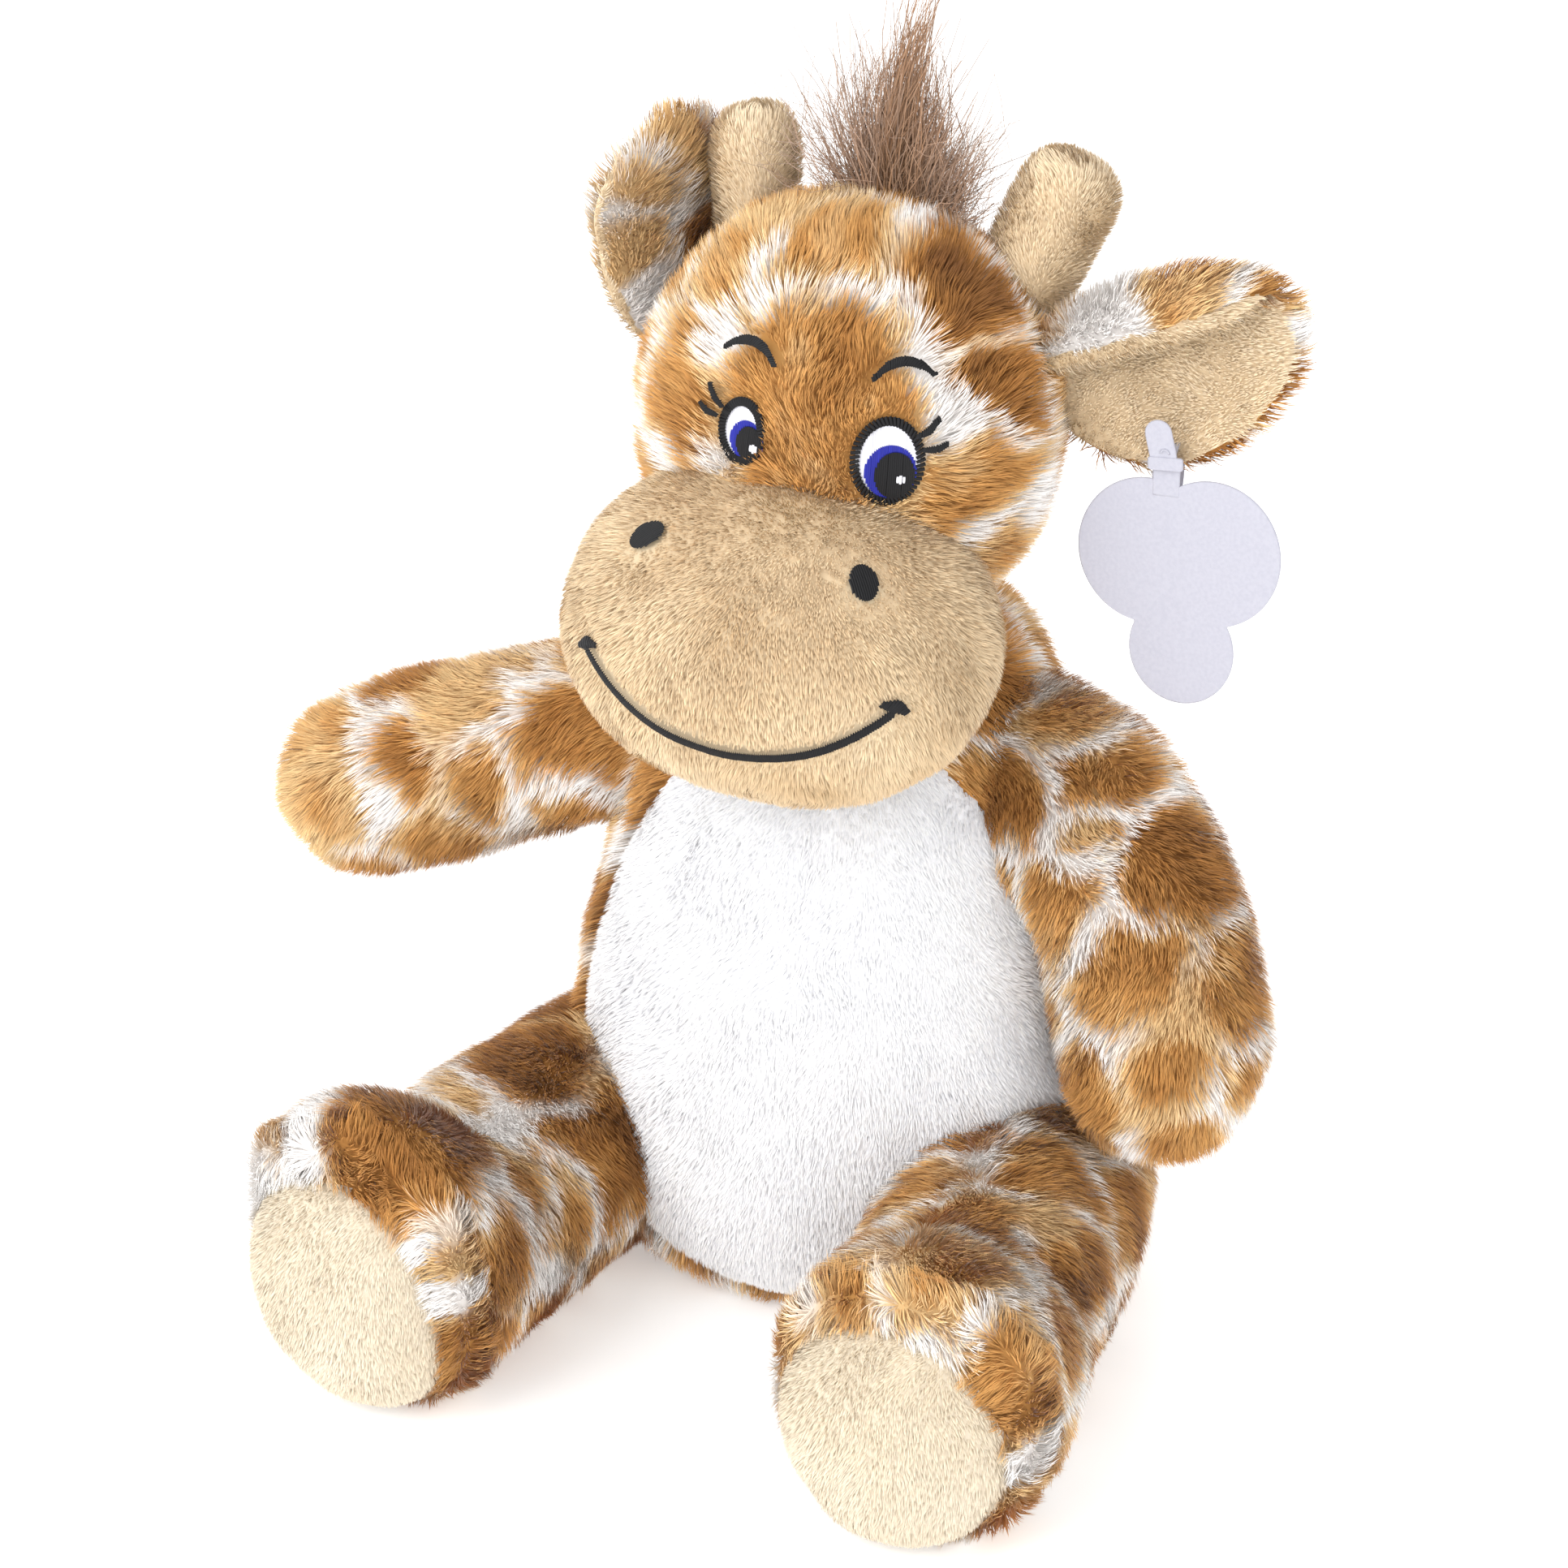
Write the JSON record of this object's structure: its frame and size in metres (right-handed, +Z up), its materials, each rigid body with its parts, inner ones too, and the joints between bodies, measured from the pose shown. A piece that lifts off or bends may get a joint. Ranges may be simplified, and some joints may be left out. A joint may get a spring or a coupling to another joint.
{
  "type": "plush giraffe",
  "caption": "Seated plush giraffe in patched fur with a white belly, tan muzzle and horns, cream soles, a mane tuft, stitched eyes and smile and a blank hang tag.",
  "frame": {"origin": "on the floor, under the middle of the seat", "axes": "+Z up; the toy faces -Y and +X is towards its own left"},
  "size_m": [0.2095, 0.1524, 0.2515],
  "materials": {
    "fur": "matte",
    "white_plush": "matte",
    "tan_plush": "matte",
    "cream_plush": "matte",
    "mane_hair": "matte",
    "stuffing": "matte",
    "black_thread": "satin",
    "white_thread": "satin",
    "blue_thread": "satin",
    "tag_card": "matte"
  },
  "bodies": {
    "torso": {"torso_back": "fur", "belly_panel": "white_plush", "torso_stuffing": "stuffing"},
    "head": {"head_skin": "fur", "muzzle": "tan_plush", "head_stuffing": "stuffing", "horn_left": "tan_plush", "horn_right": "tan_plush", "mane_tuft": "mane_hair", "eye_outline_left": "black_thread", "eye_outline_right": "black_thread", "pupil_left": "black_thread", "pupil_right": "black_thread", "brow_left": "black_thread", "brow_right": "black_thread", "nostril_left": "black_thread", "nostril_right": "black_thread", "mouth": "black_thread", "eye_white_left": "white_thread", "eye_white_right": "white_thread", "iris_left": "blue_thread", "iris_right": "blue_thread"},
    "arm_left": {"arm_left": "fur", "arm_left_stuffing": "stuffing"},
    "arm_right": {"arm_right": "fur", "arm_right_stuffing": "stuffing"},
    "leg_left": {"leg_left": "fur", "leg_left_stuffing": "stuffing", "sole_left": "cream_plush"},
    "leg_right": {"leg_right": "fur", "leg_right_stuffing": "stuffing", "sole_right": "cream_plush"},
    "ear_left": {"ear_outer_left": "fur", "ear_lining_left": "tan_plush"},
    "ear_right": {"ear_outer_right": "fur", "ear_lining_right": "tan_plush"},
    "tag": {"hang_tag": "tag_card"}
  },
  "joints": [
    {"name": "head_nod", "type": "hinge", "parent": "torso", "child": "head", "pos_m": [0, 0.015, 0.11805], "axis": [1, 0, 0], "range_deg": [-20, 6], "stiffness_Nm_per_rad": 1.2},
    {"name": "arm_left_raise", "type": "hinge", "parent": "torso", "child": "arm_left", "pos_m": [0.035, 0.01196, 0.11205], "axis": [0, -1, 0], "range_deg": [0, 22], "stiffness_Nm_per_rad": 0.2},
    {"name": "arm_right_raise", "type": "hinge", "parent": "torso", "child": "arm_right", "pos_m": [-0.035, 0.01196, 0.11205], "axis": [0, 1, 0], "range_deg": [-25, 10], "stiffness_Nm_per_rad": 0.3},
    {"name": "leg_left_drop", "type": "hinge", "parent": "torso", "child": "leg_left", "pos_m": [0.04402, 0, 0.0235], "axis": [1, 0, 0], "range_deg": [0, 60], "stiffness_Nm_per_rad": 0.3},
    {"name": "leg_right_drop", "type": "hinge", "parent": "torso", "child": "leg_right", "pos_m": [-0.04402, 0, 0.0235], "axis": [1, 0, 0], "range_deg": [0, 60], "stiffness_Nm_per_rad": 0.3},
    {"name": "ear_left_flop", "type": "hinge", "parent": "head", "child": "ear_left", "pos_m": [0.0362, 0.01626, 0.18947], "axis": [0.0349, -0.9994, 0], "range_deg": [-10, 15], "stiffness_Nm_per_rad": 0.05},
    {"name": "ear_right_flop", "type": "hinge", "parent": "head", "child": "ear_right", "pos_m": [-0.03695, 0.01873, 0.18455], "axis": [-0.0349, 0.9994, 0], "range_deg": [-15, 0], "stiffness_Nm_per_rad": 0.05},
    {"name": "tag_swing", "type": "hinge", "parent": "ear_left", "child": "tag", "pos_m": [0.06164, 0.01314, 0.1765], "axis": [0.9994, 0.0349, 0], "range_deg": [-20, 8]}
  ]
}
